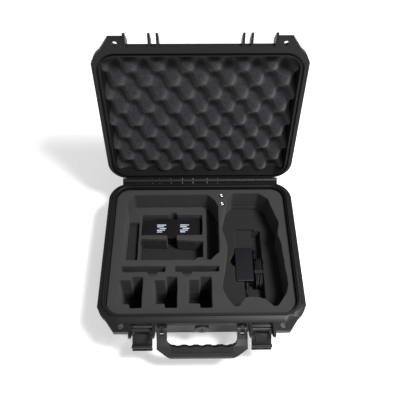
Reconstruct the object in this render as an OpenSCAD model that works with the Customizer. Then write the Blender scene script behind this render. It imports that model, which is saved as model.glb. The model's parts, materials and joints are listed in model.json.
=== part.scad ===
// Hard carrying case for a small folding drone, its remote control and batteries.
// The origin is the middle of the base's flat bottom. The front faces -Y and the lid stands open.

/* [Case] */
// Width across the rim flange
case_w = 320; // [312:1:400]
// Depth across the rim flange, without ears and hinge
case_d = 265; // [262:1:330]
// Height of the base, from the floor to the parting plane
base_h = 90; // [88:1:120]
// Height of the lid above the parting plane
lid_h = 40; // [32:1:60]
// Wall thickness of both shells
wall = 3.5; // [2.5:0.1:5]
// Height of the rim flange on each shell
rim_h = 9; // [7.5:0.1:11]
// How far the walls lean in towards the bottom
draft = 4.5; // [2:0.1:7]
// Corner radius of the rim in plan
rim_r = 35; // [30:0.5:42]
// Radius of the edge round the bottom and the top
edge_r = 15; // [8:0.5:20]
// Rim width beside the cavity, left and right
rim_side = 12; // [11:0.5:16]
// Rim width in front of the cavity
rim_front = 16; // [14:0.5:20]
// Rim width behind the cavity
rim_back = 8; // [8:0.5:12]

/* [Ears and fins] */
// How far the padlock ears stand out in front
ear_out = 13; // [11:0.5:16]
// Radius of the padlock hole
ear_hole_r = 4.2; // [2.5:0.1:5]
// Distance from the case's middle to a padlock hole
ear_hole_x = 121.7; // [119:0.1:124]
// How far the guard fins stand out in front
fin_out = 21; // [17:0.5:24]
// Thickness of a guard fin
fin_t = 3.5; // [2.5:0.1:4.5]

/* [Seal] */
// Gap between the cavity and the tongue
tongue_gap = 2; // [1.5:0.1:2.5]
// Thickness of the tongue
tongue_t = 3; // [2:0.1:3.5]
// Height of the tongue
tongue_h = 3.2; // [2:0.1:4]
// Thickness of the gasket
gasket_t = 2.4; // [1.5:0.1:3.5]

/* [Hinge] */
// Distance from the rim to the hinge axis
hinge_gap = 6; // [5.8:0.1:8]
// Radius of the hinge barrel
barrel_r = 5; // [4:0.1:5.4]
// Radius of the hinge pin
hinge_pin_r = 2; // [1.5:0.1:2.5]
// Half length of the hinge
hinge_half = 138; // [125:1:138]
// How far the lid stands open
lid_open = 96.2; // [0:0.1:100]

/* [Latches] */
// Distance from the case's middle to a latch
latch_x = 90.5; // [90:0.5:91]
// Width of the bay between two latch fins
latch_bay = 31.5; // [28:0.5:32]
// Length of a latch above its pin
latch_len = 33; // [30:0.5:36]
// Thickness of the latch plate
latch_t = 3.5; // [2.5:0.1:4.5]
// Radius of a latch pin
latch_pin_r = 1.6; // [1.2:0.1:2]
// How far the latches stand open
latch_open = 128; // [90:1:132]

/* [Handle] */
// Distance from the case's middle to a handle lug
lug_x = 61; // [58:0.5:62]
// Thickness of a handle lug
lug_t = 4.5; // [3:0.1:6]
// Width of the handle
handle_w = 137; // [130:1:138]
// Reach of the handle from its pins
handle_reach = 44; // [42:0.5:50]
// Depth of the grip bar, from the fingers to the outside
grip_w = 20; // [18:0.5:22]
// Thickness of the grip bar
grip_t = 17; // [14:0.5:18]
// Radius of a handle pin
handle_pin_r = 2; // [1.5:0.1:2.5]
// How far the handle hangs below level
handle_droop = 33; // [0:1:60]

/* [Pressure valve] */
// Radius of the valve knob
knob_r = 11; // [8:0.5:11]
// Thickness of the valve knob
knob_t = 5.5; // [4:0.1:7]
// How far the valve boss stands out from the wall
boss_out = 7; // [5:0.5:8]

/* [Foam] */
// How far the foam's top lies below the parting plane
foam_drop = 8; // [6:0.5:9]
// Thickness of the top foam sheet
sheet_top = 40; // [38:0.5:44]
// Thickness of the middle foam sheet
sheet_mid = 12; // [10:0.5:14]
// Thickness of the lower foam sheet
sheet_low = 22; // [20:0.5:24]
// How far the lid foam's face lies above the parting plane
lid_foam_rise = 5; // [4:0.5:8]

/* [Pockets] */
// Width of the remote's tray
tray_w = 162; // [155:1:163]
// Depth of the remote's tray, front to back
tray_d = 133; // [130:1:134]
// Foam left of the tray
tray_left = 17; // [14:1:18]
// Foam behind the tray
tray_back = 11; // [9:1:12]
// Width of a propeller slot
slot_w = 73; // [70:1:76]
// Depth of a propeller slot, front to back
slot_d = 10.5; // [8:0.5:12]
// Width of a battery well
cell_w = 37.5; // [34:0.5:42]
// Depth of a battery well, front to back
cell_d = 54; // [48:0.5:56]
// Spacing of the battery wells
cell_pitch = 55; // [50:1:56]

/* [Contents] */
// Length of the charging hub
hub_l = 105; // [90:1:107]
// Depth of the charging hub, front to back
hub_d = 41; // [34:1:42]
// Height of the charging hub
hub_h = 22; // [18:1:26]
// Width of the charger
charger_w = 31; // [26:1:33]
// Length of the charger
charger_l = 66; // [56:1:68]
// Height of the charger
charger_h = 22; // [18:0.5:24]
// Diameter of the charger's cord
cord_d = 3; // [2.4:0.1:3.2]

/* [Hidden] */
$fn = 96;
over = 1;
fit = 0.5;
running = 0.08;
knurls = 24;
clearance = 0.4;
parting = 0.3;

front_y = -case_d / 2;
back_y = case_d / 2;
hinge_y = back_y + hinge_gap;

cavity_w = case_w - 2 * rim_side;
cavity_d = case_d - rim_front - rim_back;
cavity_y = (rim_front - rim_back) / 2;
cavity_r = rim_r - rim_side + 1;
floor_t = wall + 0.5;
wall_front_y = cavity_y - cavity_d / 2 - wall;

groove_gap = tongue_gap - 0.6;
groove_t = tongue_t + 1.2;
groove_h = tongue_h + clearance + gasket_t;

ear_in_x = latch_x + latch_bay / 2 + fin_t;
ear_slope_x = 28;
ear_slope_y = 27;
ear_hole_y = front_y - ear_out + 8.5;

knuckle_gap = 0.5;
// Outer and inner ends of the lid's knuckles, from the middle outwards
knuckles = [[0, 12.3], [32, 52], [73, 85.3], [99.5, 112.5]];

fin_x = latch_bay / 2 + fin_t / 2;
fin_drop = 28;
latch_y = front_y - 5;
latch_z = base_h - 13;
latch_w = latch_bay - 1;
hook_z = base_h - latch_z + rim_h + clearance;
hook_t = 4;
hook_in = 7.5;
pad_t = 1.2;
pad_z = 8;
plate_out = 3.2;

handle_y = front_y - 4;
handle_z = base_h - 14;
handle_hub_r = 5.5;
grip_in = handle_reach - grip_w;
fork_gap = lug_t + 1.2;
fork_deep = handle_hub_r + 2.5;
arm_in_x = lug_x - fork_gap / 2 - 5;
grip_half = arm_in_x - 7;
grip_deep = 10;

valve_y = wall_front_y;
valve_z = base_h - rim_h - knob_r - 3;

foam_gap = 0.2;
foam_top = base_h - foam_drop;
tray_floor = foam_top - sheet_top;
shelf_floor = tray_floor - sheet_mid;
well_floor = shelf_floor - sheet_low;
foam_left = -cavity_w / 2;
foam_right = cavity_w / 2;
foam_back = cavity_y + cavity_d / 2;

tray_x = foam_left + tray_left + tray_w / 2;
tray_y = foam_back - tray_back - tray_d / 2;
channel_left = 21;
channel_right = 20;
slot_y = tray_y - tray_d / 2 - 16.3;
cell_top = slot_y - 14.2;
pocket_x = foam_right - 63;
pocket_y = foam_back - 119.5;
well_round = 2;
hub_x = tray_x - 3.5;
hub_y = tray_y + 28.3;
hub_top = well_floor + hub_h;
hub_gap = 5;
second_w = hub_l + hub_gap + 1;
charger_x = pocket_x - 9.5;
charger_y = pocket_y - 4.2;
label_w = 19.5;
label_d = 21.5;
label_x = 4;
label_step = 21;
stick_r = 3.3;
stick_places = [[tray_x + 88, foam_back - 14], [tray_x + 88.5, foam_back - 32]];

// Outline of the folded drone's pocket round its middle, from the back left corner clockwise
pocket_points = [
    [-38, 98], [-28, 111], [18, 111], [35, 98], [39, 80], [49, 49], [45, 24], [49, 5], [51, -40],
    [53, -70], [49, -84], [30, -111], [15, -95], [4, -91], [-14, -91], [-19, -96], [-30, -111],
    [-44, -94], [-50, -79], [-51, -68], [-46, -34], [-40, 0], [-45, 23], [-51, 45], [-44, 75]
];

// The loose loop of cord, from the charger's strain relief round to the hank
relief_l = 9;
cord_z = well_floor + charger_h / 2;
cord_start = [charger_x + 4, charger_y - charger_l / 2 - relief_l];
cord_steps = [
    [0, 0, 0], [0, -4, -1], [1, -9, -4], [4, -14, -7.5], [9, -18, -9.2], [15, -19.5, -9.2],
    [20.5, -17, -9.2], [24, -12, -9.2], [25, -6, -9.2], [25, -1, -9.2], [25, 3, -9.2]
];
// The hank: four folded layers side by side, two turns high
hank_pitch = cord_d + 0.1;
hank_w = 3 * hank_pitch + cord_d + 0.2;
hank_l = 58;
hank_h = 18.6;
hank_x = cord_start[0] + 25 - 1.5 * hank_pitch;
hank_y = cord_start[1] + hank_l / 2 + 1;
hank_room = 1.4;
well_right = hank_x + hank_w / 2 + hank_room;
plug_l = 20;
plug_r = 4.5;

// Flat shapes

module round_rect(w, d, r) {
    square([w - 2 * r, d], center = true);
    square([w, d - 2 * r], center = true);
    for (sx = [-1, 1], sy = [-1, 1])
        translate([sx * (w / 2 - r), sy * (d / 2 - r)]) circle(r);
}

// A wall outline that leans in by draft and has a rounded foot of radius r
module tub_profile(w, h, r) {
    foot = w / 2 - draft;
    polygon([
        [-w / 2, h + over], [-w / 2, h], [-foot, r], [-foot + r, 0],
        [foot - r, 0], [foot, r], [w / 2, h], [w / 2, h + over]
    ]);
    for (s = [-1, 1]) translate([s * (foot - r), r]) circle(r);
}

// Solid with the plan of a rounded rectangle, leaning walls and a rounded foot
module tub(w, d, h, foot_r, plan_r) {
    intersection() {
        linear_extrude(h) round_rect(w, d, plan_r);
        translate([0, d, 0]) rotate([90, 0, 0]) linear_extrude(2 * d) tub_profile(w, h, foot_r);
        translate([-w, 0, 0]) rotate([90, 0, 90]) linear_extrude(2 * w) tub_profile(d, h, foot_r);
    }
}

// A plate across X whose outline is drawn in Y and Z
module plate_x(x, t) {
    translate([x - t / 2, 0, 0]) rotate([90, 0, 90]) linear_extrude(t) children();
}

module rod_x(x, y, z, r, l) {
    translate([x - l / 2, y, z]) rotate([0, 90, 0]) cylinder(r = r, h = l);
}

// A ring that follows the cavity at a distance
module rim_ring(gap, t) {
    difference() {
        translate([0, cavity_y])
            round_rect(cavity_w + 2 * (gap + t), cavity_d + 2 * (gap + t), cavity_r + gap + t);
        translate([0, cavity_y])
            round_rect(cavity_w + 2 * gap, cavity_d + 2 * gap, cavity_r + gap);
    }
}

// Rim flange with its two padlock ears
module rim_plan() {
    x = case_w / 2;
    y = front_y - ear_out;
    round_rect(case_w, case_d, rim_r);
    for (s = [-1, 1])
        difference() {
            polygon([
                [s * ear_in_x, front_y + rim_r], [s * ear_in_x, y], [s * (x - ear_slope_x), y],
                [s * x, front_y + ear_slope_y], [s * x, front_y + rim_r]
            ]);
            translate([s * ear_hole_x, ear_hole_y]) circle(ear_hole_r);
        }
}

module rim(h) {
    difference() {
        linear_extrude(h) rim_plan();
        for (s = [-1, 1])
            translate([s * ear_hole_x, ear_hole_y, -over]) cylinder(r = ear_hole_r, h = h + 2 * over);
    }
}

// Hinge

// One knuckle: a barrel round the axis with an arm to the rim on the side given by up
module knuckle(x0, x1, up) {
    l = x1 - x0;
    rod_x((x0 + x1) / 2, hinge_y, base_h, barrel_r, l);
    translate([x0, back_y - 3, base_h - (up ? 0 : barrel_r)]) cube([l, hinge_gap + 3, barrel_r]);
}

module lid_knuckles() {
    for (k = knuckles, s = [-1, 1]) knuckle(min(s * k[0], s * k[1]), max(s * k[0], s * k[1]), true);
}

module base_knuckles() {
    count = len(knuckles);
    for (i = [0:count - 1], s = [-1, 1]) {
        a = knuckles[i][1] + knuckle_gap;
        b = i < count - 1 ? knuckles[i + 1][0] - knuckle_gap : hinge_half;
        knuckle(min(s * a, s * b), max(s * a, s * b), false);
    }
}

// Base shell

module base_fin_outline() {
    polygon([
        [front_y + rim_front - wall, base_h], [front_y - fin_out, base_h], [front_y - fin_out, base_h - 7],
        [latch_y - 6, latch_z - 7], [front_y + rim_front - wall, base_h - fin_drop]
    ]);
}

module lug_outline() {
    translate([handle_y, handle_z]) circle(handle_hub_r);
    polygon([
        [handle_y, handle_z - handle_hub_r], [handle_y, handle_z + handle_hub_r],
        [front_y + 1, base_h - rim_h + over], [wall_front_y + wall / 2, base_h - rim_h + over],
        [wall_front_y + wall / 2, handle_z - 14]
    ]);
}

module base_shell() {
    color("#26282b")
    difference() {
        union() {
            translate([0, cavity_y, 0])
                tub(cavity_w + 2 * wall, cavity_d + 2 * wall, base_h, edge_r, cavity_r + wall);
            translate([0, 0, base_h - rim_h]) rim(rim_h);
            translate([0, 0, base_h]) linear_extrude(tongue_h) rim_ring(tongue_gap, tongue_t);
            base_knuckles();
            for (s = [-1, 1], e = [-1, 1]) plate_x(s * latch_x + e * fin_x, fin_t) base_fin_outline();
            for (s = [-1, 1]) plate_x(s * lug_x, lug_t) lug_outline();
            translate([0, valve_y + 1, valve_z]) rotate([90, 0, 0]) cylinder(r = knob_r - 1, h = boss_out + 1);
        }
        translate([0, cavity_y, floor_t])
            tub(cavity_w, cavity_d, base_h - floor_t, edge_r - wall, cavity_r);
        translate([0, cavity_y, base_h - over])
            linear_extrude(tongue_h + 2 * over) round_rect(cavity_w, cavity_d, cavity_r);
        rod_x(0, hinge_y, base_h, hinge_pin_r, 2 * hinge_half + 2 * over);
        for (s = [-1, 1]) {
            rod_x(s * latch_x, latch_y, latch_z, latch_pin_r, latch_bay + 2 * fin_t + 2 * over);
            rod_x(s * lug_x, handle_y, handle_z, handle_pin_r, lug_t + 2 * over);
        }
        translate([0, valve_y + wall + over + draft, valve_z]) rotate([90, 0, 0])
            cylinder(r = knob_r / 2, h = wall + boss_out + draft + 2 * over);
    }
}

module hinge_pin() {
    color("#8d9093") rod_x(0, hinge_y, base_h, hinge_pin_r, 2 * hinge_half);
}

module latch_pin(side) {
    color("#8d9093") rod_x(side * latch_x, latch_y, latch_z, latch_pin_r, latch_bay + 2 * fin_t);
}

module handle_pin(side) {
    color("#8d9093") rod_x(side * lug_x, handle_y, handle_z, handle_pin_r, fork_gap + 10);
}

// Pressure valve

module valve_body() {
    color("#1c1d1f")
    translate([0, valve_y - boss_out, valve_z]) rotate([90, 0, 0]) {
        translate([0, 0, -boss_out - wall - draft]) cylinder(r = knob_r / 2, h = boss_out + wall + draft);
        cylinder(r = knob_r - 2, h = 1.2);
    }
}

module valve_seal() {
    color("#101010")
    translate([0, valve_y - boss_out, valve_z]) rotate([90, 0, 0])
        difference() {
            cylinder(r = knob_r - 0.8, h = 1.2);
            translate([0, 0, -over]) cylinder(r = knob_r - 2, h = 1.2 + 2 * over);
        }
}

module valve_knob() {
    color("#1c1d1f")
    translate([0, valve_y - boss_out - 1.2 - clearance, valve_z]) rotate([90, 0, 0])
        difference() {
            cylinder(r = knob_r, h = knob_t);
            for (i = [0:knurls - 1])
                rotate([0, 0, i * 360 / knurls]) translate([knob_r + 0.3, 0, -over])
                    cylinder(r = 0.9, h = knob_t + 2 * over, $fn = 16);
            for (a = [0, 90])
                rotate([0, 0, a]) translate([-knob_r * 0.6, -1, knob_t - 1.5]) cube([knob_r * 1.2, 2, 3]);
        }
}

// Lid

module lid_fin_outline() {
    polygon([
        [front_y + rim_front - wall, base_h], [front_y - fin_out, base_h], [front_y - fin_out, base_h + 2.5],
        [front_y, base_h + rim_h + 13], [front_y + rim_front - wall, base_h + rim_h + 13]
    ]);
}

// Rails across the lid's top that another case or the ground meets
module lid_rails() {
    for (s = [-1, 1])
        translate([s * cavity_w * 0.3, cavity_y, base_h + lid_h - over])
            linear_extrude(over + 2) round_rect(34, cavity_d * 0.74, 12);
}

// Turns what is drawn closed to where the open lid stands
module opened() {
    translate([0, hinge_y, base_h]) rotate([-lid_open, 0, 0]) translate([0, -hinge_y, -base_h]) children();
}

module lid_shell() {
    color("#26282b")
    opened()
    difference() {
        union() {
            translate([0, cavity_y, base_h + lid_h]) mirror([0, 0, 1])
                tub(cavity_w + 2 * wall, cavity_d + 2 * wall, lid_h, edge_r, cavity_r + wall);
            translate([0, 0, base_h]) rim(rim_h);
            lid_knuckles();
            lid_rails();
            for (s = [-1, 1], x = [latch_x - fin_x, latch_x + fin_x, lug_x])
                plate_x(s * x, fin_t) lid_fin_outline();
        }
        translate([0, cavity_y, base_h + lid_h - wall]) mirror([0, 0, 1])
            tub(cavity_w, cavity_d, lid_h - wall, edge_r - wall, cavity_r);
        translate([0, cavity_y, base_h - over])
            linear_extrude(2 * over) round_rect(cavity_w, cavity_d, cavity_r);
        translate([0, 0, base_h - over]) linear_extrude(groove_h + over) rim_ring(groove_gap, groove_t);
        translate([-case_w, front_y - fin_out - over, base_h - over])
            cube([2 * case_w, case_d + fin_out + 2 * over, over + parting]);
        rod_x(0, hinge_y, base_h, hinge_pin_r + running, 2 * hinge_half + 2 * over);
    }
}

module lid_gasket() {
    color("#141414")
    opened()
    translate([0, 0, base_h + groove_h - gasket_t]) linear_extrude(gasket_t) rim_ring(groove_gap, groove_t);
}

module lid_foam() {
    color("#3e4248")
    opened()
    intersection() {
        translate([0, cavity_y, base_h + lid_h - wall]) mirror([0, 0, 1])
            tub(cavity_w - 2 * foam_gap, cavity_d - 2 * foam_gap, lid_h - wall, edge_r - wall,
                cavity_r - foam_gap);
        translate([-case_w / 2, -case_d, base_h + lid_foam_rise]) cube([case_w, 2 * case_d, lid_h]);
    }
}

// Latches

// The latch closed, seen from the side, with its pin at the origin and the front towards -X
module latch_plate_outline() {
    polygon([
        [-plate_out - latch_t, 5], [-plate_out, 5], [-plate_out, hook_z], [hook_in, hook_z],
        [hook_in, hook_z + hook_t - 1], [hook_in - 1, hook_z + hook_t], [-plate_out, hook_z + hook_t],
        [-plate_out, latch_len], [-plate_out - latch_t - 2, latch_len],
        [-plate_out - latch_t - 2, latch_len - 3], [-plate_out - latch_t, latch_len - 4]
    ]);
}

module latch_arm_outline() {
    circle(3.8);
    polygon([
        [-plate_out - latch_t, 9], [-plate_out - latch_t, 2], [-3, -2.3], [3.2, 2], [-plate_out + 2, 9]
    ]);
}

// The thinner web between a latch's two arms
module latch_web_outline() {
    circle(3);
    polygon([
        [-plate_out - latch_t, 9], [-plate_out - latch_t, 3.2], [-2.4, -1.8], [0.6, 2.9], [-plate_out, 7]
    ]);
}

// The raised thumb pad on a latch's inner face, arched towards the pin
module latch_pad() {
    w = latch_w - 12;
    arch = w * 0.75;
    translate([0, pad_t - plate_out, 0]) rotate([90, 0, 0]) linear_extrude(pad_t + over)
        intersection() {
            translate([-w / 2, pad_z]) square([w, hook_z - 2 - pad_z]);
            translate([0, pad_z + arch]) circle(arch);
        }
}

module latch(side) {
    arm_t = 5;
    color("#2c2e31")
    translate([side * latch_x, latch_y, latch_z]) rotate([latch_open, 0, 0])
    difference() {
        union() {
            plate_x(0, latch_w) latch_plate_outline();
            plate_x(0, latch_w - 2) latch_web_outline();
            latch_pad();
            for (e = [-1, 1]) plate_x(e * (latch_w - arm_t) / 2, arm_t) latch_arm_outline();
        }
        rod_x(0, 0, 0, latch_pin_r + running, latch_bay + 2 * over);
    }
}

// Handle

// The handle seen from above, level, with its pins along X and its reach towards -Y
module handle_plan() {
    x = handle_w / 2;
    polygon([
        [-x, handle_hub_r], [-x, -handle_reach + 16], [-x + 22, -handle_reach],
        [x - 22, -handle_reach], [x, -handle_reach + 16], [x, handle_hub_r]
    ]);
}

// The handle seen from its end
module handle_side() {
    r = grip_t / 2;
    circle(handle_hub_r);
    polygon([
        [0, handle_hub_r], [-14, handle_hub_r + 0.5], [-grip_in, r], [-handle_reach + r, r],
        [-handle_reach + r, -r], [-grip_in, -r], [-14, -handle_hub_r - 0.5], [0, -handle_hub_r]
    ]);
    translate([-handle_reach + r, 0]) circle(r);
}

module finger_opening() {
    w = 2 * arm_in_x;
    translate([0, -grip_in / 2 + 10]) round_rect(w, grip_in + 20, 9);
}

module grip_plan() {
    difference() {
        translate([-grip_half, -grip_in - grip_deep]) square([2 * grip_half, grip_deep]);
        for (i = [-2:2]) translate([i * grip_half * 0.4, -grip_in + 10]) circle(11.5);
    }
}

module at_handle() {
    translate([0, handle_y, handle_z]) rotate([handle_droop, 0, 0]) children();
}

module handle_frame() {
    color("#232528")
    at_handle()
    difference() {
        intersection() {
            translate([0, 0, -grip_t]) linear_extrude(2 * grip_t) handle_plan();
            plate_x(0, handle_w + 2) handle_side();
        }
        translate([0, 0, -grip_t]) linear_extrude(2 * grip_t) finger_opening();
        translate([-grip_half, -grip_in - grip_deep, -grip_t]) cube([2 * grip_half, grip_deep + over, 2 * grip_t]);
        for (s = [-1, 1]) {
            translate([s * lug_x - fork_gap / 2, -fork_deep, -grip_t])
                cube([fork_gap, fork_deep + handle_hub_r + 2 * over, 2 * grip_t]);
            rod_x(s * lug_x, 0, 0, handle_pin_r + running, 30);
        }
    }
}

module handle_grip() {
    color("#1d1e20")
    at_handle()
    translate([0, 0, -grip_t / 2 - 0.3]) linear_extrude(grip_t + 0.6) grip_plan();
}

// Foam

// The foam block that fills the base between two heights
module foam_slab(bottom, top) {
    intersection() {
        translate([0, cavity_y, floor_t])
            tub(cavity_w - 2 * foam_gap, cavity_d - 2 * foam_gap, base_h - floor_t, edge_r - wall,
                cavity_r - foam_gap);
        translate([-case_w / 2, -case_d, bottom]) cube([case_w, 2 * case_d, top - bottom]);
    }
}

// Rounds every corner of a flat shape, inner and outer
module soften(r) {
    offset(r = -r, $fn = 32) offset(r = 2 * r, $fn = 32) offset(r = -r, $fn = 32) children();
}

module tray_plan() {
    w = tray_w / 2;
    d = tray_d / 2;
    translate([tray_x, tray_y]) soften(4) polygon([
        [-w, -d + 8], [-w + 2, d - 21], [-w + 13, d], [w - 18, d], [w - 5, d - 13], [w, d - 26],
        [w, -d + 15], [w - 7, -d + 9], [w - 15, -d], [w - 26, -d], [w - 31, -d + 5], [w - 37, -d + 5],
        [w - 42, -d], [-w + 7, -d]
    ]);
}

module channels_plan() {
    w = tray_w / 2;
    d = tray_d / 2;
    intersection() {
        tray_plan();
        translate([tray_x, tray_y]) {
            translate([-w, -d]) square([channel_left, tray_d - 32]);
            translate([w - channel_right, -d]) square([channel_right, tray_d]);
        }
    }
}

module hub_well_plan() {
    translate([hub_x - hub_l / 2 - fit, hub_y - hub_d / 2 - fit]) square([hub_l + hub_gap, hub_d + 2]);
    translate([hub_x + 4.2, hub_y + hub_d / 2]) circle(7.3);
    translate([hub_x - 6, hub_y - hub_d / 2 - 14]) square([17, 16]);
}

// The well in front of the hub, with two slits in its back wall
module second_well_plan() {
    x = hub_x - hub_l / 2 - 1;
    y = hub_y - hub_d / 2 - 8;
    polygon([
        [x, y], [x + second_w, y - 6], [x + second_w, y - 38], [x + second_w - 6, y - 39],
        [x + second_w - 11, y - 44], [x + 6, y - 44], [x, y - 41]
    ]);
    for (i = [0, 1]) translate([x + 19 + 18 * i, y - 4]) square([1.8, 6]);
}

module slots_plan() {
    for (i = [0, 1])
        translate([tray_x - tray_w / 2 + slot_w / 2 + i * (slot_w + 14), slot_y]) {
            square([slot_w, slot_d], center = true);
            translate([i == 0 ? 15.5 : -15.5, -slot_d / 2]) circle(8);
        }
}

module cells_plan() {
    for (i = [0:2])
        translate([tray_x - tray_w / 2 + i * cell_pitch, cell_top]) {
            soften(well_round / 2) {
                translate([0, -cell_d + 7.5]) square([cell_w, cell_d - 13.5]);
                translate([cell_w - 19, -cell_d]) square([19, cell_d]);
            }
        }
}

module pocket_plan() {
    translate([pocket_x, pocket_y]) soften(7) polygon(pocket_points);
}

// The deep well under the drone, for the charger and its cord
module charger_well_plan() {
    left = charger_x - charger_w / 2 - fit;
    front = charger_y - charger_l / 2;
    right = charger_x + charger_w / 2;
    soften(well_round / 2) {
        translate([left, front - fit]) square([charger_w + 2 * fit, charger_l + 2 * fit]);
        translate([right - 17, front - relief_l - 24]) square([well_right - right + 17, relief_l + 40]);
        translate([right, front - 10]) square([well_right - right, charger_l + 45]);
        translate([left + 7, charger_y + 9]) circle(15.5);
        translate([right + 6, charger_y + 4]) circle(11.5);
    }
}

// The shallow step behind the charger
module charger_step_plan() {
    translate([charger_x - charger_w / 2 + 1, charger_y]) square([charger_w + 4, charger_l / 2 + 39]);
}

module cut(z, h) {
    translate([0, 0, z]) linear_extrude(h) children();
}

module foam_top_sheet() {
    color("#46443f")
    difference() {
        foam_slab(tray_floor, foam_top);
        cut(tray_floor - over, sheet_top + 2 * over) {
            tray_plan();
            cells_plan();
            pocket_plan();
        }
        cut(foam_top - 28, 30) slots_plan();
        for (p = stick_places) translate([p[0], p[1], foam_top - 18]) cylinder(r = stick_r + 1, h = 20);
        translate([0, cavity_y - cavity_d / 2 + draft + 2, valve_z]) rotate([90, 0, 0])
            cylinder(r = knob_r / 2 + 1, h = draft + 4);
    }
}

module foam_middle_sheet() {
    color("#3f3d39")
    difference() {
        foam_slab(shelf_floor, tray_floor);
        cut(shelf_floor - over, sheet_mid + 2 * over) {
            channels_plan();
            hub_well_plan();
            second_well_plan();
            cells_plan();
            pocket_plan();
        }
    }
}

module foam_lower_sheet() {
    color("#383632")
    difference() {
        foam_slab(well_floor, shelf_floor);
        cut(well_floor - over, sheet_low + 2 * over) {
            hub_well_plan();
            second_well_plan();
            cells_plan();
            charger_well_plan();
        }
        cut(shelf_floor - 6, 6 + over) charger_step_plan();
    }
}

module foam_floor_sheet() {
    color("#383632") foam_slab(floor_t, well_floor);
}

// Contents

module hub_lower_shell() {
    color("#141518")
    translate([hub_x, hub_y, well_floor]) linear_extrude(hub_h * 0.55) round_rect(hub_l, hub_d, 4);
}

module hub_upper_shell() {
    color("#17181b")
    translate([hub_x, hub_y, well_floor + hub_h * 0.55])
    difference() {
        linear_extrude(hub_h * 0.45) round_rect(hub_l, hub_d, 4);
        for (s = [-1, 1]) {
            inner = label_x + s * (label_step - label_w / 2 - 1.2);
            outer = s * (hub_l / 2 - 2.5);
            translate([min(inner, outer), -hub_d / 2 + 1.5, hub_h * 0.45 - 1])
                cube([abs(outer - inner), hub_d - 3, 2]);
        }
    }
}

module hub_labels() {
    color("#d8dadc")
    for (s = [-1, 1])
        translate([hub_x + label_x + s * label_step, hub_y + 1, hub_top - 1]) linear_extrude(0.3)
            square([label_w, label_d], center = true);
}

module charger_lower_shell() {
    color("#1b1c21")
    translate([charger_x, charger_y, well_floor]) linear_extrude(charger_h / 2)
        round_rect(charger_w, charger_l, 3);
}

module charger_upper_shell() {
    color("#202127")
    translate([charger_x, charger_y, well_floor + charger_h / 2]) linear_extrude(charger_h / 2)
        round_rect(charger_w, charger_l, 3);
}

module charger_relief() {
    color("#151518")
    translate([cord_start[0], cord_start[1] + relief_l, cord_z]) rotate([90, 0, 0])
        rotate_extrude() polygon([[0, 0], [cord_d / 2 + 1.8, 0], [cord_d / 2 + 0.5, relief_l], [0, relief_l]]);
}

// Frames along a route: the tangent at each point, level turns only
function along(p, i) = let (n = len(p), a = p[max(i - 1, 0)], b = p[min(i + 1, n - 1)], d = b - a) d / norm(d);

// A round tube through the points p, with n sides
module sweep(p, r, n) {
    rings = [for (i = [0:len(p) - 1]) let (t = along(p, i), u = [t[1], -t[0], 0] / norm([t[0], t[1]]))
        for (k = [0:n - 1]) p[i] + r * (cos(k * 360 / n) * u + sin(k * 360 / n) * [0, 0, 1])];
    last = (len(p) - 1) * n;
    sides = [for (i = [0:len(p) - 2], k = [0:n - 1])
        [i * n + k, i * n + (k + 1) % n, (i + 1) * n + (k + 1) % n, (i + 1) * n + k]];
    ends = [[for (k = [n - 1:-1:0]) k], [for (k = [0:n - 1]) last + k]];
    polyhedron(points = rings, faces = concat(sides, ends), convexity = 6);
}

module cord_lead() {
    color("#161619")
    sweep([for (s = cord_steps) [cord_start[0], cord_start[1], cord_z] + s], cord_d / 2, 8);
}

module cord_hank() {
    r = hank_w / 2;
    color("#161619")
    translate([hank_x, hank_y, well_floor + 0.3]) linear_extrude(hank_h) {
        square([hank_w, hank_l - hank_w], center = true);
        for (s = [-1, 1]) translate([0, s * (hank_l / 2 - r)]) circle(r);
    }
}

module cord_tie() {
    color("#101013")
    translate([hank_x, hank_y - 2, well_floor + 0.1])
    difference() {
        translate([-hank_w / 2 - 0.9, -3, 0]) cube([hank_w + 1.8, 6, hank_h + 1.2]);
        translate([-hank_w / 2, -3 - over, 0.2]) cube([hank_w, 6 + 2 * over, hank_h]);
    }
}

module cord_plug() {
    color("#141417")
    translate([hank_x - 1.5 * hank_pitch + 1, hank_y + hank_l / 2, well_floor + plug_r + 0.3])
    rotate([-90, 0, 0]) {
        cylinder(r = plug_r, h = plug_l - 8);
        translate([0, 0, plug_l - 8]) cylinder(r = 2.7, h = 8);
    }
}

// A removable control stick, standing head up in its hole
module thumbstick(place) {
    color("#b9bcc0")
    translate([place[0], place[1], foam_top - 17]) {
        cylinder(r = 1.6, h = 12);
        translate([0, 0, 12]) cylinder(r = stick_r - 0.8, h = 2);
        translate([0, 0, 14]) cylinder(r = stick_r, h = 4);
    }
}

base_shell();
hinge_pin();
foam_top_sheet();
foam_middle_sheet();
foam_lower_sheet();
foam_floor_sheet();
latch_pin(-1);  // latch_pin_left
latch_pin(1);  // latch_pin_right
handle_pin(-1);  // handle_pin_left
handle_pin(1);  // handle_pin_right
valve_body();
valve_seal();
valve_knob();
lid_shell();
lid_gasket();
lid_foam();
latch(-1);  // latch_left
latch(1);  // latch_right
handle_frame();
handle_grip();
hub_lower_shell();
hub_upper_shell();
hub_labels();
charger_lower_shell();
charger_upper_shell();
charger_relief();
cord_lead();
cord_hank();
cord_tie();
cord_plug();
thumbstick(stick_places[0]);  // thumbstick_back
thumbstick(stick_places[1]);  // thumbstick_front
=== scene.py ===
import bpy
import bmesh
import json
import math
import numpy as np
from mathutils import Matrix, Vector


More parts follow.
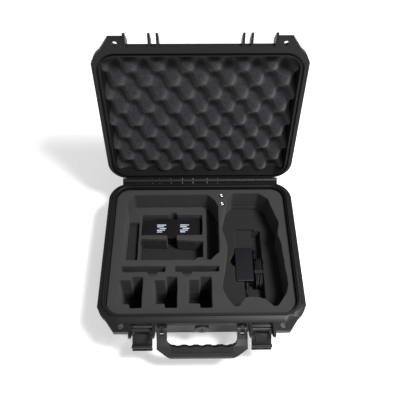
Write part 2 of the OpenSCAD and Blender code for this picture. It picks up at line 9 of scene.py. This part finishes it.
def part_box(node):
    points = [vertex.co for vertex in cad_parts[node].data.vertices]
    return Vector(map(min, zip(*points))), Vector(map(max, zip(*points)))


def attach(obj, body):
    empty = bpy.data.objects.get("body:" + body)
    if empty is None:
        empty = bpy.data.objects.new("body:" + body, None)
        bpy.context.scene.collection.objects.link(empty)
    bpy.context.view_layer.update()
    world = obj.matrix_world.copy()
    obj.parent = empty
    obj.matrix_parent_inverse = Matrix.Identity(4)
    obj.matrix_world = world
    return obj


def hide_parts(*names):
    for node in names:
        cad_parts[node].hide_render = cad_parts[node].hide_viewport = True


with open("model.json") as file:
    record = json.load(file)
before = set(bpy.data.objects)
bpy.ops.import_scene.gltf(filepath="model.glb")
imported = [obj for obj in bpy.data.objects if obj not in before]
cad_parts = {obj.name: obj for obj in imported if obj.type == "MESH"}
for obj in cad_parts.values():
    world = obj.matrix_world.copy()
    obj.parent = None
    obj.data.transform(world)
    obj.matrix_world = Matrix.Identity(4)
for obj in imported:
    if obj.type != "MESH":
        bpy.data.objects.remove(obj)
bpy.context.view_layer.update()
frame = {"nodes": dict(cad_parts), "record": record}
scene = bpy.context.scene
nodes = frame["nodes"]
bodyOf = {}
for body, names in frame["record"]["behaviour"]["bodies"].items():
    bodyOf.update({name: body for name in names})

# where things are, in metres
case = {"hingeY": 0.1385, "parting": 0.090, "lidOpen": math.radians(96.2), "middleY": 0.004}


def toOpenLid(points):
    # turns points drawn on the closed lid back about the hinge to where the open lid stands
    angle = -case["lidOpen"]
    y = points[..., 1] - case["hingeY"]
    z = points[..., 2] - case["parting"]
    turned = points.copy()
    turned[..., 1] = case["hingeY"] + y * math.cos(angle) - z * math.sin(angle)
    turned[..., 2] = case["parting"] + y * math.sin(angle) + z * math.cos(angle)
    return turned


# lens in mm, angles in degrees, place in metres
camera = {"lens": 47.14, "pitch": 53.98, "yaw": -0.89, "roll": 0.35, "place": (-0.0090, -0.4445, 0.8325)}


def addCamera():
    # pitch is below the level, the yaw turns about the vertical, the roll about the view
    data = bpy.data.cameras.new("view")
    data.lens = camera["lens"]
    data.sensor_width = 36.0
    rig = bpy.data.objects.new("view", data)
    turn = Matrix.Rotation(math.radians(camera["yaw"]), 4, "Z")
    turn = turn @ Matrix.Rotation(math.radians(90 - camera["pitch"]), 4, "X")
    turn = turn @ Matrix.Rotation(math.radians(camera["roll"]), 4, "Z")
    rig.matrix_world = Matrix.Translation(camera["place"]) @ turn
    scene.collection.objects.link(rig)
    scene.camera = rig


addCamera()
scene.view_settings.view_transform = "Standard"  # plain tones, so that a white floor is white


class Term:
    # wraps one socket, so that a sum written in Python adds its Math nodes
    def __init__(self, paint, socket):
        self.paint = paint
        self.socket = socket

    def math(self, operation, other, swapped=False):
        first, second = (other, self) if swapped else (self, other)
        node = self.paint.add("ShaderNodeMath", {"operation": operation}, {0: first, 1: second})
        return Term(self.paint, node.outputs[0])

    def __add__(self, other):
        return self.math("ADD", other)

    def __radd__(self, other):
        return self.math("ADD", other, True)

    def __sub__(self, other):
        return self.math("SUBTRACT", other)

    def __rsub__(self, other):
        return self.math("SUBTRACT", other, True)

    def __mul__(self, other):
        return self.math("MULTIPLY", other)

    def __rmul__(self, other):
        return self.math("MULTIPLY", other, True)

    def above(self, start, end):
        # 0 below start, 1 above end, smooth between
        inputs = {"Value": self, "From Min": start, "From Max": end}
        node = self.paint.add("ShaderNodeMapRange", {"interpolation_type": "SMOOTHSTEP"}, inputs)
        return Term(self.paint, node.outputs[0])


class Paint:
    # one material: add() makes any node, the other calls are short forms of it
    def __init__(self, name, **fixed):
        self.material = bpy.data.materials.new(name)
        self.material.use_nodes = True
        self.tree = self.material.node_tree
        self.shader = self.tree.nodes["Principled BSDF"]
        for key, value in fixed.items():
            self.shader.inputs[key.replace("_", " ")].default_value = value
        self.place = self.add("ShaderNodeTexCoord").outputs["Object"]

    def add(self, kind, settings={}, inputs={}):
        node = self.tree.nodes.new(kind)
        for key, value in settings.items():
            setattr(node, key, value)
        for key, value in inputs.items():
            value = value.socket if isinstance(value, Term) else value
            if isinstance(value, bpy.types.NodeSocket):
                self.tree.links.new(value, node.inputs[key])
            else:
                node.inputs[key].default_value = value
        return node

    def stretch(self, scale, turn=(0, 0, 0)):
        inputs = {"Vector": self.place, "Scale": scale, "Rotation": turn}
        return self.add("ShaderNodeMapping", {}, inputs).outputs[0]

    def noise(self, scale, detail=2.0, rough=0.5, place=None):
        inputs = {"Vector": place or self.place, "Scale": scale, "Detail": detail, "Roughness": rough}
        return Term(self, self.add("ShaderNodeTexNoise", {}, inputs).outputs[0])

    def cells(self, scale, place=None):
        inputs = {"Vector": place or self.place, "Scale": scale}
        return Term(self, self.add("ShaderNodeTexVoronoi", {}, inputs).outputs["Distance"])

    def heightAbove(self):
        return Term(self, self.add("ShaderNodeSeparateXYZ", {}, {0: self.place}).outputs[2])

    def scaled(self, color, amount):
        node = self.add("ShaderNodeVectorMath", {"operation": "SCALE"}, {0: color, "Scale": amount})
        return node.outputs[0]

    def blend(self, factor, first, second):
        node = self.add("ShaderNodeMix", {"data_type": "RGBA"}, {0: factor, 6: first, 7: second})
        return node.outputs[2]

    def finish(self, color=None, roughness=None, height=None, distance=0.0001, strength=1.0, metallic=None):
        links = {"Base Color": color, "Roughness": roughness, "Metallic": metallic}
        if height is not None:
            bump = {"Height": height, "Distance": distance, "Strength": strength}
            links["Normal"] = self.add("ShaderNodeBump", {}, bump).outputs[0]
        for key, value in links.items():
            if value is not None:
                value = value.socket if isinstance(value, Term) else value
                self.tree.links.new(value, self.shader.inputs[key])
        return self.material


def grey(value, warm=0.0):
    # a grey with a little more red than blue
    return (value * (1 + warm), value, value * (1 - warm), 1)


# dark and light are the two tones, grain the width of the texture in metres
plastics = {
    "shell": {"dark": 0.0036, "light": 0.0072, "grain": 0.00028, "rough": 0.42, "gloss": 0.20},
    "part": {"dark": 0.0050, "light": 0.0180, "grain": 0.00016, "rough": 0.38, "gloss": 0.33},
    "device": {"dark": 0.0036, "light": 0.0068, "grain": 0.00012, "rough": 0.40, "gloss": 0.20},
}


def mouldedPlastic(name, look, tint=(1, 1, 1)):
    # spark-eroded grain, faint cloudy gloss from handling, and thin scuffs
    paint = Paint(name, Specular_IOR_Level=look["gloss"])
    grain = paint.noise(1 / look["grain"], 3, 0.6)
    cloud = paint.noise(18, 4, 0.55)
    lines = paint.noise(1.0, 3, 0.6, paint.stretch((60, 900, 400), (0.3, 0.2, 0.7)))
    other = paint.noise(1.0, 3, 0.6, paint.stretch((800, 70, 500), (0.1, 0.4, 0.2)))
    scuff = (lines * other).above(0.40, 0.50) * cloud.above(0.45, 0.7)
    dark = tuple(look["dark"] * t for t in tint) + (1,)
    light = tuple(look["light"] * t for t in tint) + (1,)
    tone = (cloud * 0.6 + grain * 0.4 + scuff * 0.5)
    color = paint.blend(tone, dark, light)
    rough = look["rough"] - 0.06 + cloud * 0.12 + grain * 0.06 - scuff * 0.1
    return paint.finish(color, rough, grain + scuff * 0.3, look["grain"] * 0.12)


def rubber(name, shade=0.006, rough=0.62):
    # matt rubber with a fine tooth and a trace of dust
    paint = Paint(name, Specular_IOR_Level=0.28)
    fine = paint.noise(2600, 2)
    dust = paint.noise(70, 4, 0.6)
    color = paint.blend(dust.above(0.35, 0.8), grey(shade * 0.7), grey(shade * 1.5, 0.03))
    return paint.finish(color, rough + dust * 0.12, fine, 0.00004)


# one tone for each sheet, the lower sheet's much darker tone being painted shade for the deep pocket
# floors; middleTop and lowerTop are just above the two lower sheets' faces
baseFoam = {"top": 0.0245, "middle": 0.026, "lower": 0.0125, "spread": 1.5, "blur": 0.0004,
            "middleTop": 0.0428, "lowerTop": 0.0308}
lidFoam = {"dark": (0.0014, 0.0015, 0.0019, 1), "light": (0.0165, 0.0167, 0.0194, 1)}
label = {"worn": (0.30, 0.32, 0.36, 1), "print": (0.62, 0.65, 0.72, 1)}


def closedCellFoam():
    # dense foam in sheets of three tones, the lowest darker as painted shade in the deep pockets: fine
    # pores, paler dust, upright knife marks on the cut walls
    look = baseFoam
    paint = Paint("closedCellFoam", Specular_IOR_Level=0.12, Sheen_Weight=0.05, Sheen_Roughness=0.5)
    pores = paint.cells(1500)
    speck = paint.noise(900, 3, 0.7)
    patch = paint.noise(24, 3, 0.5)
    knife = paint.noise(1.0, 2, 0.5, paint.stretch((420, 420, 14)))
    normal = paint.add("ShaderNodeTexCoord").outputs["Normal"]
    upward = Term(paint, paint.add("ShaderNodeSeparateXYZ", {}, {0: normal}).outputs[2])
    wall = 1 - (upward * upward).above(0.2, 0.8)
    tone = speck * 0.45 + patch * 0.3 + pores * 0.25 + knife * wall * 0.25 - wall * 0.12
    heightForShade = paint.heightAbove()
    lower, middle, top = (grey(look[sheet], 0.015) for sheet in ("lower", "middle", "top"))
    # painted shade: faces below lowerTop take the lower sheet's darker tone, standing in for the shade deep
    # in the pockets
    shade = paint.blend(heightForShade.above(look["lowerTop"], look["lowerTop"] + look["blur"]), lower, middle)
    shade = paint.blend(heightForShade.above(look["middleTop"], look["middleTop"] + look["blur"]), shade, top)
    pale = paint.scaled(shade, look["spread"])
    color = paint.blend(tone.above(0.15, 0.95), shade, pale)
    height = pores * 0.5 + speck * 0.5 + knife * wall * 0.8
    return paint.finish(color, 0.86 + speck * 0.12, height, 0.00016, 0.7)


def openCellFoam():
    # soft grey-blue foam with larger open pores; the pale specks in its colour are painted highlights on
    # the pores, and its bump gives them relief
    paint = Paint("openCellFoam", Specular_IOR_Level=0.15, Sheen_Weight=0.12, Sheen_Roughness=0.6)
    pores = paint.cells(1150)
    speck = paint.noise(1700, 2, 0.8)
    mottle = paint.noise(400, 4, 0.8).above(0.38, 0.62)
    patch = paint.noise(30, 3, 0.5)
    # pores and speck lighten the colour as painted highlights; mottle and patch are random tone
    tone = pores * 0.3 + speck * 0.2 + mottle * 0.55 + patch * 0.15 - 0.12
    color = paint.blend(tone.above(0.0, 0.8), lidFoam["dark"], lidFoam["light"])
    return paint.finish(color, 0.88 + speck * 0.1, pores * 0.6 + speck * 0.4, 0.0003, 0.8)


def drawnSteel():
    # pins drawn along X, so the marks run round them
    paint = Paint("drawnSteel", Metallic=1.0)
    rings = paint.noise(1.0, 3, 0.6, paint.stretch((160, 5000, 5000)))
    stain = paint.noise(120, 3)
    color = paint.blend(stain * 0.5 + rings * 0.5, grey(0.32), grey(0.55))
    return paint.finish(color, 0.25 + rings * 0.2, rings, 0.00002)


def turnedAluminium():
    # bright metal with turning marks across the stick's axis
    paint = Paint("turnedAluminium", Metallic=1.0)
    marks = paint.noise(1.0, 2, 0.6, paint.stretch((900, 900, 9000)))
    stain = paint.noise(300, 3)
    color = paint.blend(stain, grey(0.42), grey(0.70))
    return paint.finish(color, 0.3 + marks * 0.2, marks, 0.00002)


def printedPaper():
    # pale print on a label, worn thin in places
    paint = Paint("printedPaper", Specular_IOR_Level=0.3)
    fibre = paint.noise(2500, 3)
    worn = paint.noise(260, 4, 0.7)
    color = paint.blend(worn.above(0.3, 0.8), label["worn"], label["print"])
    return paint.finish(color, 0.5 + fibre * 0.2, fibre, 0.00002)


finishes = {
    "shell_black": mouldedPlastic("mouldedShell", plastics["shell"]),
    "part_black": mouldedPlastic("satinPart", plastics["part"]),
    "device_black": mouldedPlastic("deviceCase", plastics["device"], (0.92, 0.95, 1.2)),
    "rubber_black": rubber("softRubber"),
    "cord_black": rubber("cordJacket", 0.0045, 0.5),
    "foam_base": closedCellFoam(),
    "foam_lid": openCellFoam(),
    "steel": drawnSteel(),
    "stick_silver": turnedAluminium(),
    "label_white": printedPaper(),
}
slotOf = {part["node"]: part["material_slot"] for part in frame["record"]["subparts"]}
print("finishes made", len(finishes))


def newPiece(name, mesh, slot, body, replaced=(), smooth=35):
    # smooth is the angle in degrees past which an edge stays sharp, or 0 for none
    mesh.materials.clear()
    mesh.materials.append(finishes[slot])
    mesh.polygons.foreach_set("use_smooth", np.ones(len(mesh.polygons), dtype=bool))
    if smooth:
        mesh.set_sharp_from_angle(angle=math.radians(smooth))
    piece = bpy.data.objects.new(name, mesh)
    scene.collection.objects.link(piece)
    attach(piece, body)
    if replaced:
        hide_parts(*replaced)
    return piece


def gridFaces(rows, columns, closedRows=False, closedColumns=False):
    # quads of a grid of points, numbered row by row
    i = np.arange(rows if closedRows else rows - 1)
    j = np.arange(columns if closedColumns else columns - 1)
    i, j = np.meshgrid(i, j, indexing="ij")
    i2, j2 = (i + 1) % rows, (j + 1) % columns
    quad = np.stack([i * columns + j, i * columns + j2, i2 * columns + j2, i2 * columns + j], -1)
    return quad.reshape(-1, 4)


def gridMesh(name, points, faces):
    mesh = bpy.data.meshes.new(name)
    mesh.from_pydata(points.reshape(-1, 3).tolist(), [], faces.tolist())
    mesh.validate()
    return mesh


def mended(mesh, merge=1e-6):
    # joins doubles and turns every face outwards
    work = bmesh.new()
    work.from_mesh(mesh)
    bmesh.ops.remove_doubles(work, verts=work.verts, dist=merge)
    bmesh.ops.recalc_face_normals(work, faces=work.faces)
    work.to_mesh(mesh)
    work.free()
    return mesh


def trimmedCopy(node, edge, steps=2, angle=28):
    # a merged copy of a hard piece, its flats joined and its edges rounded
    work = bmesh.new()
    work.from_mesh(nodes[node].data)
    bmesh.ops.remove_doubles(work, verts=work.verts, dist=2e-6)
    bmesh.ops.dissolve_limit(work, angle_limit=math.radians(0.5), verts=work.verts, edges=work.edges)
    least = math.radians(angle)
    sharp = [e for e in work.edges if len(e.link_faces) == 2 and e.calc_face_angle_signed(0) > least]
    bmesh.ops.bevel(work, geom=sharp, offset=edge, segments=steps, profile=0.5, affect="EDGES",
                    clamp_overlap=True)
    bmesh.ops.triangulate(work, faces=[f for f in work.faces if len(f.verts) > 4])
    mesh = bpy.data.meshes.new(node)
    work.to_mesh(mesh)
    work.free()
    return mesh


def rounded(node, edge, steps=2):
    # puts the rounded copy in the node's place and evens the shading of its flats
    piece = newPiece(node + "_finished", trimmedCopy(node, edge, steps), slotOf[node], bodyOf[node], [node])
    weighted = piece.modifiers.new("evenShade", "WEIGHTED_NORMAL")
    weighted.keep_sharp = True
    return piece


def lathe(name, profile, centre, axis, sides=48, radiusAt=None):
    # a profile of (radius, height) turned round an axis; radiusAt(angle) adds knurls
    angle = np.linspace(0, 2 * math.pi, sides, endpoint=False)
    radius, height = np.array(profile).T
    r = radius[:, None] * (np.ones(sides) if radiusAt is None else radiusAt(angle, height[:, None]))
    local = np.stack([r * np.cos(angle), r * np.sin(angle), height[:, None] + 0 * r], -1)
    turn = np.array(Vector((0, 0, 1)).rotation_difference(Vector(axis)).to_matrix())
    points = local @ turn.T + np.array(centre)
    mesh = gridMesh(name, points, gridFaces(len(profile), sides, closedColumns=True))
    return mended(mesh)


# the charger's cord: a loose loop and a hank
# length and height are the hank's; start is where the cord leaves the strain relief
cordLook = {"diameter": 0.003, "pitch": 0.0031, "length": 0.058, "height": 0.0186,
            "start": (0.0795, -0.0412, 0.019), "floor": 0.0083, "spacing": 0.0012, "passPoints": 32,
            "turnPoints": 18}
relief = {"length": 0.009, "root": 0.0033, "taper": 0.0013, "ring": 0.00035, "rings": 5}
# the plug's profile, as radius and height: a grip with a waist, then a narrower sleeve
plugProfile = [(0.0002, 0), (0.0028, 0), (0.0042, 0.0008), (0.0044, 0.004), (0.0040, 0.006),
               (0.0044, 0.008), (0.0044, 0.0112), (0.0040, 0.012), (0.0028, 0.012), (0.0027, 0.0122),
               (0.0027, 0.0198), (0.0024, 0.02), (0.0009, 0.02), (0.0008, 0.013)]


def easing(t):
    # 0 before 0, 1 after 1, half a cosine between
    return 0.5 - 0.5 * np.cos(np.pi * np.clip(t, 0, 1))


def smoothLine(points, spacing):
    # Catmull-Rom curve through the points, sampled at even spacing
    p = np.vstack([2 * points[0] - points[1], points, 2 * points[-1] - points[-2]])
    t = np.linspace(0, 1, 40, endpoint=False)[:, None]
    parts = []
    for a, b, c, d in zip(p[:-3], p[1:-2], p[2:-1], p[3:]):
        square, cube = 2 * a - 5 * b + 4 * c - d, 3 * b - a - 3 * c + d
        parts.append(0.5 * (2 * b + (c - a) * t + square * t**2 + cube * t**3))
    line = np.vstack(parts + [points[-1:]])
    gone = np.concatenate([[0], np.cumsum(np.linalg.norm(np.diff(line, axis=0), axis=1))])
    even = np.linspace(0, gone[-1], max(2, int(gone[-1] / spacing)))
    return np.stack([np.interp(even, gone, line[:, k]) for k in range(3)], 1)


def cordLine():
    # the loose loop, then the hank's passes to and fro with a half turn between each pair
    look = cordLook
    start = np.array(look["start"])
    bed = -9.2  # millimetres from the exit down to the well's floor
    steps = np.array([[0, 0, 0], [0, -4, -1], [1, -9, -4], [4, -14, -7.5], [9, -18, bed], [15, -19.5, bed],
                      [20.5, -17, bed], [24, -12, bed], [25, -6, bed], [25, -1, bed], [25, 3, bed]]) / 1000
    lead = smoothLine(start + steps, look["spacing"])
    pitch, outer = look["pitch"], (look["height"] - look["diameter"]) / 2
    inner = outer - pitch
    firstX = start[0] + 0.025
    middleY = start[1] + look["length"] / 2 + 0.001
    half = look["length"] / 2 - look["height"] / 2
    centreZ = look["floor"] + look["height"] / 2
    # each pass: turn size at its start and end, layer at its start and end, third in which it changes
    passes = [(outer, outer, 0, 0, 0), (outer, inner, 0, 0, 2), (inner, inner, 0, 0, 0),
              (inner, inner, 0, 1, 1), (inner, outer, 1, 1, 2), (outer, outer, 1, 1, 0),
              (outer, outer, 1, 2, 0), (outer, inner, 2, 2, 2), (inner, inner, 2, 2, 0),
              (inner, inner, 2, 3, 1), (inner, inner, 3, 3, 0), (inner, outer, 3, 3, 0),
              (outer, outer, 3, 3, 0)]
    lines = [lead[:-1]]
    t = np.linspace(0, 1, look["passPoints"])
    for number, (r0, r1, x0, x1, third) in enumerate(passes):
        low = number % 2 == 0
        way = 1 if low else -1
        change = easing(t * 3 - third)
        radius = r0 + (r1 - r0) * change
        x = firstX - pitch * (x0 + (x1 - x0) * change)
        y = middleY + way * half * (2 * t - 1)
        keep = t >= 0 if number else y > lead[-1, 1] + 0.0008
        z = centreZ + (-radius if low else radius)
        lines.append(np.stack([x, y, z], 1)[keep])
        if number < len(passes) - 1:
            turn = np.linspace(0, np.pi, look["turnPoints"])[1:-1]
            fold = np.stack([0 * turn + x[-1], middleY + way * (half + r1 * np.sin(turn)),
                             centreZ + (-1 if low else 1) * r1 * np.cos(turn)], 1)
            lines.append(fold)
    last = lines[-1][-1]
    out = np.linspace(0, 1, 8)[1:, None]
    plugEnd = np.array([last[0] + 0.001, middleY + look["length"] / 2 + 0.0005, look["floor"] + 0.0045])
    lines.append(last + (plugEnd - last) * np.hstack([easing(out), out, easing(out)]))
    return np.vstack(lines), plugEnd


def addCord():
    look = cordLook
    line, plugEnd = cordLine()
    curve = bpy.data.curves.new("chargerCord", "CURVE")
    curve.dimensions = "3D"
    curve.bevel_depth = look["diameter"] / 2
    curve.bevel_resolution = 3
    curve.use_fill_caps = True
    spline = curve.splines.new("POLY")
    spline.points.add(len(line) - 1)
    spline.points.foreach_set("co", np.hstack([line, np.ones((len(line), 1))]).ravel())
    spline.use_smooth = True
    curve.materials.append(finishes["cord_black"])
    cord = bpy.data.objects.new("chargerCord", curve)
    scene.collection.objects.link(cord)
    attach(cord, "base")
    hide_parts("cord_lead", "cord_hank")
    s = look["start"]
    # strain relief: a cone whose radius waves in soft rings
    boot = relief["length"]
    along = np.linspace(0, 1, 41)
    wave = relief["ring"] * (0.5 + 0.5 * np.cos(along * 2 * relief["rings"] * math.pi))
    cone = [(relief["root"] - relief["taper"] * a + w, boot * a) for a, w in zip(along, wave)]
    bootMesh = lathe("reliefBoot", [(0.0005, 0)] + cone + [(0.0015, boot)], (s[0], s[1] + boot, s[2]),
                     (0, -1, 0), 24)
    bootPiece = newPiece("reliefBoot", bootMesh, "cord_black", "base", ["charger_relief"])
    plugMesh = lathe("barrelPlug", plugProfile, plugEnd - np.array([0, 0.0003, 0]), (0, 1, 0), 32)
    plug = newPiece("barrelPlug", plugMesh, "device_black", "base", ["cord_plug"])
    tie = rounded("cord_tie", 0.0004)


addCord()


# hard pieces: the radius of the rounded edges and the steps round it
hardEdges = {
    "base_shell": (0.0007, 2), "lid_shell": (0.0007, 2), "latch_left": (0.0006, 2),
    "latch_right": (0.0006, 2), "handle_frame": (0.0022, 4), "handle_grip": (0.0011, 3),
    "valve_knob": (0.0004, 2), "valve_body": (0.0003, 2), "hub_lower_shell": (0.0009, 2),
    "hub_upper_shell": (0.0008, 2),
    "charger_lower_shell": (0.0009, 3), "charger_upper_shell": (0.0016, 4),
    "hinge_pin": (0.0004, 2), "latch_pin_left": (0.0004, 2), "latch_pin_right": (0.0004, 2),
    "handle_pin_left": (0.0004, 2), "handle_pin_right": (0.0004, 2), "lid_gasket": (0.0008, 3),
    "valve_seal": (0.0002, 1),
}
for node, (edge, steps) in hardEdges.items():
    rounded(node, edge, steps)
print("hard pieces finished")


# foam in the base: size of the cells that a sheet is rebuilt in, and the share of its faces that is kept
dieCut = {"foam_top_sheet": (0.0013, 0.45), "foam_middle_sheet": (0.0013, 0.4),
          "foam_lower_sheet": (0.0013, 0.4), "foam_floor_sheet": (0.002, 0.3)}
# how far the sines move a point, how near the outline they fade, and how fast they run
waver = {"aside": 0.00022, "up": 0.00012, "edge": 0.004, "perMetre": 140}


def softCut(node, voxel, keep):
    # the sheet is rebuilt in small even cells, so that its cut edges come out soft, and wavers a little
    mesh = nodes[node].data.copy()
    work = bpy.data.objects.new("cutting", mended(mesh, 2e-6))
    scene.collection.objects.link(work)
    remesh = work.modifiers.new("cells", "REMESH")
    remesh.mode = "VOXEL"
    remesh.voxel_size = voxel
    soft = work.modifiers.new("soft", "SMOOTH")
    soft.factor = 0.5
    soft.iterations = 3
    fewer = work.modifiers.new("fewer", "DECIMATE")
    fewer.ratio = keep
    cut = bpy.data.meshes.new_from_object(work.evaluated_get(bpy.context.evaluated_depsgraph_get()))
    bpy.data.objects.remove(work)
    points = np.empty(len(cut.vertices) * 3)
    cut.vertices.foreach_get("co", points)
    points = points.reshape(-1, 3)
    x, y = points[:, 0] * waver["perMetre"], points[:, 1] * waver["perMetre"]
    low, high = (np.array(c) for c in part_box(node))
    # slow sines move each point aside, and less near the sheet's outline
    room = np.clip((np.minimum(points - low, high - points)[:, :2].min(1)) / waver["edge"], 0, 1)
    points[:, 0] += waver["aside"] * room * np.sin(y * 1.3 + 1.7 * np.sin(x * 0.9))
    points[:, 1] += waver["aside"] * room * np.sin(x * 1.1 + 1.9 * np.sin(y * 0.8) + 2)
    points[:, 2] += waver["up"] * np.sin(x * 0.7 + 2 * np.sin(y * 0.5)) * (room - 0.2)
    cut.vertices.foreach_set("co", points.ravel())
    return cut


for node, (voxel, keep) in dieCut.items():
    sheet = newPiece(node + "_cut", softCut(node, voxel, keep), "foam_base", "base", [node], smooth=0)
    print(sheet.name, len(sheet.data.polygons))
print("base foam cut")


# foam in the lid: pitches and height of its peaks, and where its face and back lie with the lid closed
eggCrate = {"width": 0.2952, "depth": 0.2402, "corner": 0.0238, "pitchX": 0.0422, "pitchY": 0.0520,
            "height": 0.0102, "steep": 0.8, "broad": 0.1, "face": 0.0952, "back": 0.1262, "step": 0.0016,
            "swell": 0.0007, "ripple": 0.0005, "edgeDrop": 0.0014, "edgeWidth": 0.0022, "backShare": 0.97}


def crateHeight(x, u):
    # peaks in a quincunx: cosine across times cosine along, pushed through tanh so that the peaks
    # are broad and flat and their sides steep; two slow sines make them uneven
    look = eggCrate
    wave = np.cos(2 * np.pi * x / look["pitchX"]) * np.cos(2 * np.pi * u / look["pitchY"])
    wave = np.tanh(look["steep"] * (wave + look["broad"]))
    wave = wave / math.tanh(look["steep"] * (1 + look["broad"]))
    swell = look["swell"] * np.sin(x * 61 + 2.1 * np.sin(u * 43))
    ripple = look["ripple"] * np.sin(u * 87 + 1.3 * np.sin(x * 71))
    return look["height"] * (1 - wave) + (swell + ripple)


def addEggCrate():
    # a grid of points for the face and one for the back, drawn on the closed lid, joined round the outline
    look = eggCrate
    halfX, halfY, r = look["width"] / 2, look["depth"] / 2, look["corner"]
    rows = int(look["depth"] / look["step"])
    columns = int(look["width"] / look["step"])
    y = np.linspace(-halfY, halfY, rows)
    # the half width follows the rounded corners
    over = np.clip(np.abs(y) - (halfY - r), 0, r)
    half = halfX - r + np.sqrt(np.maximum(r**2 - over**2, 0.0))
    x = half[:, None] * np.linspace(-1, 1, columns)[None, :]
    y = np.repeat(y[:, None], columns, 1)
    u = case["hingeY"] - (y + case["middleY"])
    inset = np.minimum(half[:, None] - np.abs(x), (halfY - np.abs(y)))
    drop = look["edgeDrop"] * np.clip(1 - inset / look["edgeWidth"], 0, 1) ** 2
    top = np.stack([x, y + case["middleY"], look["face"] + crateHeight(x, u) + drop], -1)
    low = top.copy()
    low[..., 2] = look["back"]
    centre = np.array([0, case["middleY"], 0])
    low[..., :2] = centre[:2] + (low[..., :2] - centre[:2]) * look["backShare"]
    points = toOpenLid(np.stack([top, low]))
    count = rows * columns
    faces = gridFaces(rows, columns)
    index = np.arange(count).reshape(rows, columns)
    loop = np.concatenate([index[0, :-1], index[:-1, -1], index[-1, :0:-1], index[:0:-1, 0]])
    following = np.roll(loop, -1)
    side = np.stack([loop, following, following + count, loop + count], -1)
    mesh = gridMesh("eggCrateFoam", points, np.vstack([faces, faces[:, ::-1] + count, side]))
    foam = newPiece("eggCrateFoam", mended(mesh), "foam_lid", "lid", ["lid_foam"], smooth=0)


addEggCrate()
print("egg-crate foam shaped")


# rows are the bars' starts and ends, as shares of the label's width
labelLook = {"width": 0.0195, "margin": 0.003, "pitch": 0.0037, "bar": 0.0019, "height": 0.00028,
             "rows": [(0.08, 0.9), (0.08, 0.7), (0.3, 0.92), (0.08, 0.8), (0.08, 0.55)]}
stickProfile = [(0.0002, 0), (0.0015, 0), (0.0016, 0.0004), (0.0016, 0.0118), (0.0024, 0.0121),
                (0.0025, 0.0138), (0.0030, 0.0141), (0.0033, 0.0146), (0.0033, 0.0152), (0.0033, 0.0164),
                (0.0033, 0.0170), (0.0030, 0.0178), (0.0025, 0.0180), (0.0018, 0.0174), (0.0009, 0.0172),
                (0.0002, 0.0172)]
knurl = {"count": 18, "depth": 0.05, "start": 0.0138, "perMetre": 2500}


def addLabelBars():
    # plain bars in place of print, on the two labels: each bar is a box from its four corners
    look = labelLook
    low, high = (np.array(c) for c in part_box("hub_labels"))
    bars = []
    for left in (low[0], high[0] - look["width"]):
        for row, (start, end) in enumerate(look["rows"]):
            y = high[1] - look["margin"] - row * look["pitch"]
            x = left + look["width"] * np.array([start, end])
            bars.append((x[0], x[1], y - look["bar"], y))
    bars = np.array(bars)
    count = bars.shape[0]
    corner = np.stack([bars[:, [0, 1, 1, 0]], bars[:, [2, 2, 3, 3]]], -1)
    z = np.array([low[2], low[2] + look["height"]])
    points = np.concatenate([np.dstack([corner, np.full((count, 4, 1), h)]).reshape(-1, 3) for h in z])
    lower = np.arange(count)[:, None] * 4 + np.arange(4)
    upper = lower + count * 4
    following = np.roll(lower, -1, 1)
    around = np.stack([lower, following, following + count * 4, upper], -1).reshape(-1, 4)
    faces = np.vstack([upper, lower[:, ::-1], around])
    mesh = mended(gridMesh("labelBars", points, faces), 1e-7)
    newPiece("labelBars", mesh, "label_white", "base", ["hub_labels"])


def addStick(node):
    # a small control stick: shank, collar and a knurled, dished head
    low, high = (np.array(c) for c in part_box(node))
    centre = [(low[0] + high[0]) / 2, (low[1] + high[1]) / 2, low[2]]

    def knurled(angle, height):
        # grooves round the head, none on the shank
        band = np.clip((height - knurl["start"]) * knurl["perMetre"], 0, 1)
        return 1 - knurl["depth"] * band * (0.5 - 0.5 * np.cos(angle * knurl["count"]))

    mesh = lathe(node, stickProfile, centre, (0, 0, 1), 108, knurled)
    newPiece(node + "_knurled", mesh, "stick_silver", "base", [node])


addLabelBars()
for node in ["thumbstick_back", "thumbstick_front"]:
    addStick(node)
print("small pieces made")


# power in watts, sizes and places in metres
studio = {"floor": 0.8, "floorSize": 60, "glow": 0.41, "world": 0.40,
          "keyPower": 39, "keySize": 0.36, "key": (0.60, -0.30, 1.42),
          "fillPower": 2, "fillSize": 0.8, "fill": (0.3, -1.3, 1.0)}


def addFloor():
    # a plain white floor that glows a little
    bpy.ops.mesh.primitive_plane_add(size=studio["floorSize"])
    floor = bpy.context.object
    floor.name = "studioFloor"
    paint = Paint("floorPaint", Roughness=0.7)
    paint.shader.inputs["Emission Strength"].default_value = studio["glow"]
    paint.shader.inputs["Emission Color"].default_value = (1, 1, 1, 1)
    shade = paint.noise(6, 2)
    color = paint.blend(shade, grey(studio["floor"]), grey(studio["floor"] * 1.02))
    floor.data.materials.append(paint.finish(color))


def addLamp(name, power, size, place, aim=(0, 0, 0.08)):
    # a square lamp, turned so that it faces aim
    data = bpy.data.lights.new(name, "AREA")
    data.energy = power
    data.size = size
    lamp = bpy.data.objects.new(name, data)
    lamp.location = place
    lamp.rotation_mode = "QUATERNION"
    lamp.rotation_quaternion = (Vector(place) - Vector(aim)).to_track_quat("Z", "Y")
    scene.collection.objects.link(lamp)


def addLight():
    world = bpy.data.worlds.new("studio")
    scene.world = world
    world.use_nodes = True
    world.node_tree.nodes["Background"].inputs["Color"].default_value = (1, 1, 1, 1)
    world.node_tree.nodes["Background"].inputs["Strength"].default_value = studio["world"]
    addLamp("key", studio["keyPower"], studio["keySize"], studio["key"])
    addLamp("fill", studio["fillPower"], studio["fillSize"], studio["fill"])


addFloor()
addLight()
print("scene ready")
